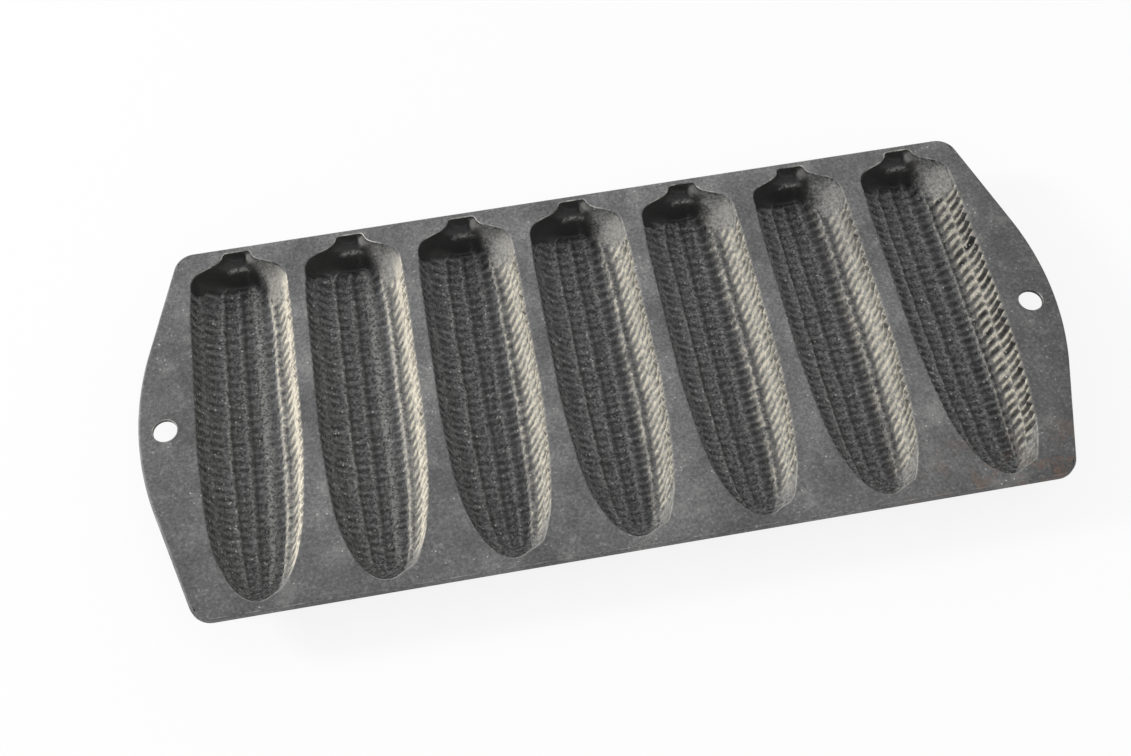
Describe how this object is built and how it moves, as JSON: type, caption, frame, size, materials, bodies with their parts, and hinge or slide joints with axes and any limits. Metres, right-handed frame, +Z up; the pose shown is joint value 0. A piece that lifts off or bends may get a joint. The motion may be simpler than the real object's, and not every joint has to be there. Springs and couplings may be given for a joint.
{
  "type": "corn stick pan",
  "caption": "Shallow cast iron baking pan: a flat plate with ear-of-corn moulds side by side and rounded ends with a hanging hole in each.",
  "frame": {"origin": "on the surface the pan rests on, under the middle of the pan", "axes": "+X along the pan, across the row of moulds, +Y along each ear towards its stem end, +Z up, out of the open moulds"},
  "size_m": [0.35, 0.155, 0.0205],
  "materials": {
    "seasoned_cast_iron": "dull dark grey seasoned cast iron, paler where it is worn, with thin pale dust in the moulds and faint rust at the edges"
  },
  "bodies": {
    "root": {"corn_ear_mould_1": "seasoned_cast_iron", "corn_ear_mould_2": "seasoned_cast_iron", "corn_ear_mould_3": "seasoned_cast_iron", "corn_ear_mould_4": "seasoned_cast_iron", "corn_ear_mould_5": "seasoned_cast_iron", "corn_ear_mould_6": "seasoned_cast_iron", "corn_ear_mould_7": "seasoned_cast_iron", "hanging_end_left": "seasoned_cast_iron", "hanging_end_right": "seasoned_cast_iron"}
  },
  "joints": []
}
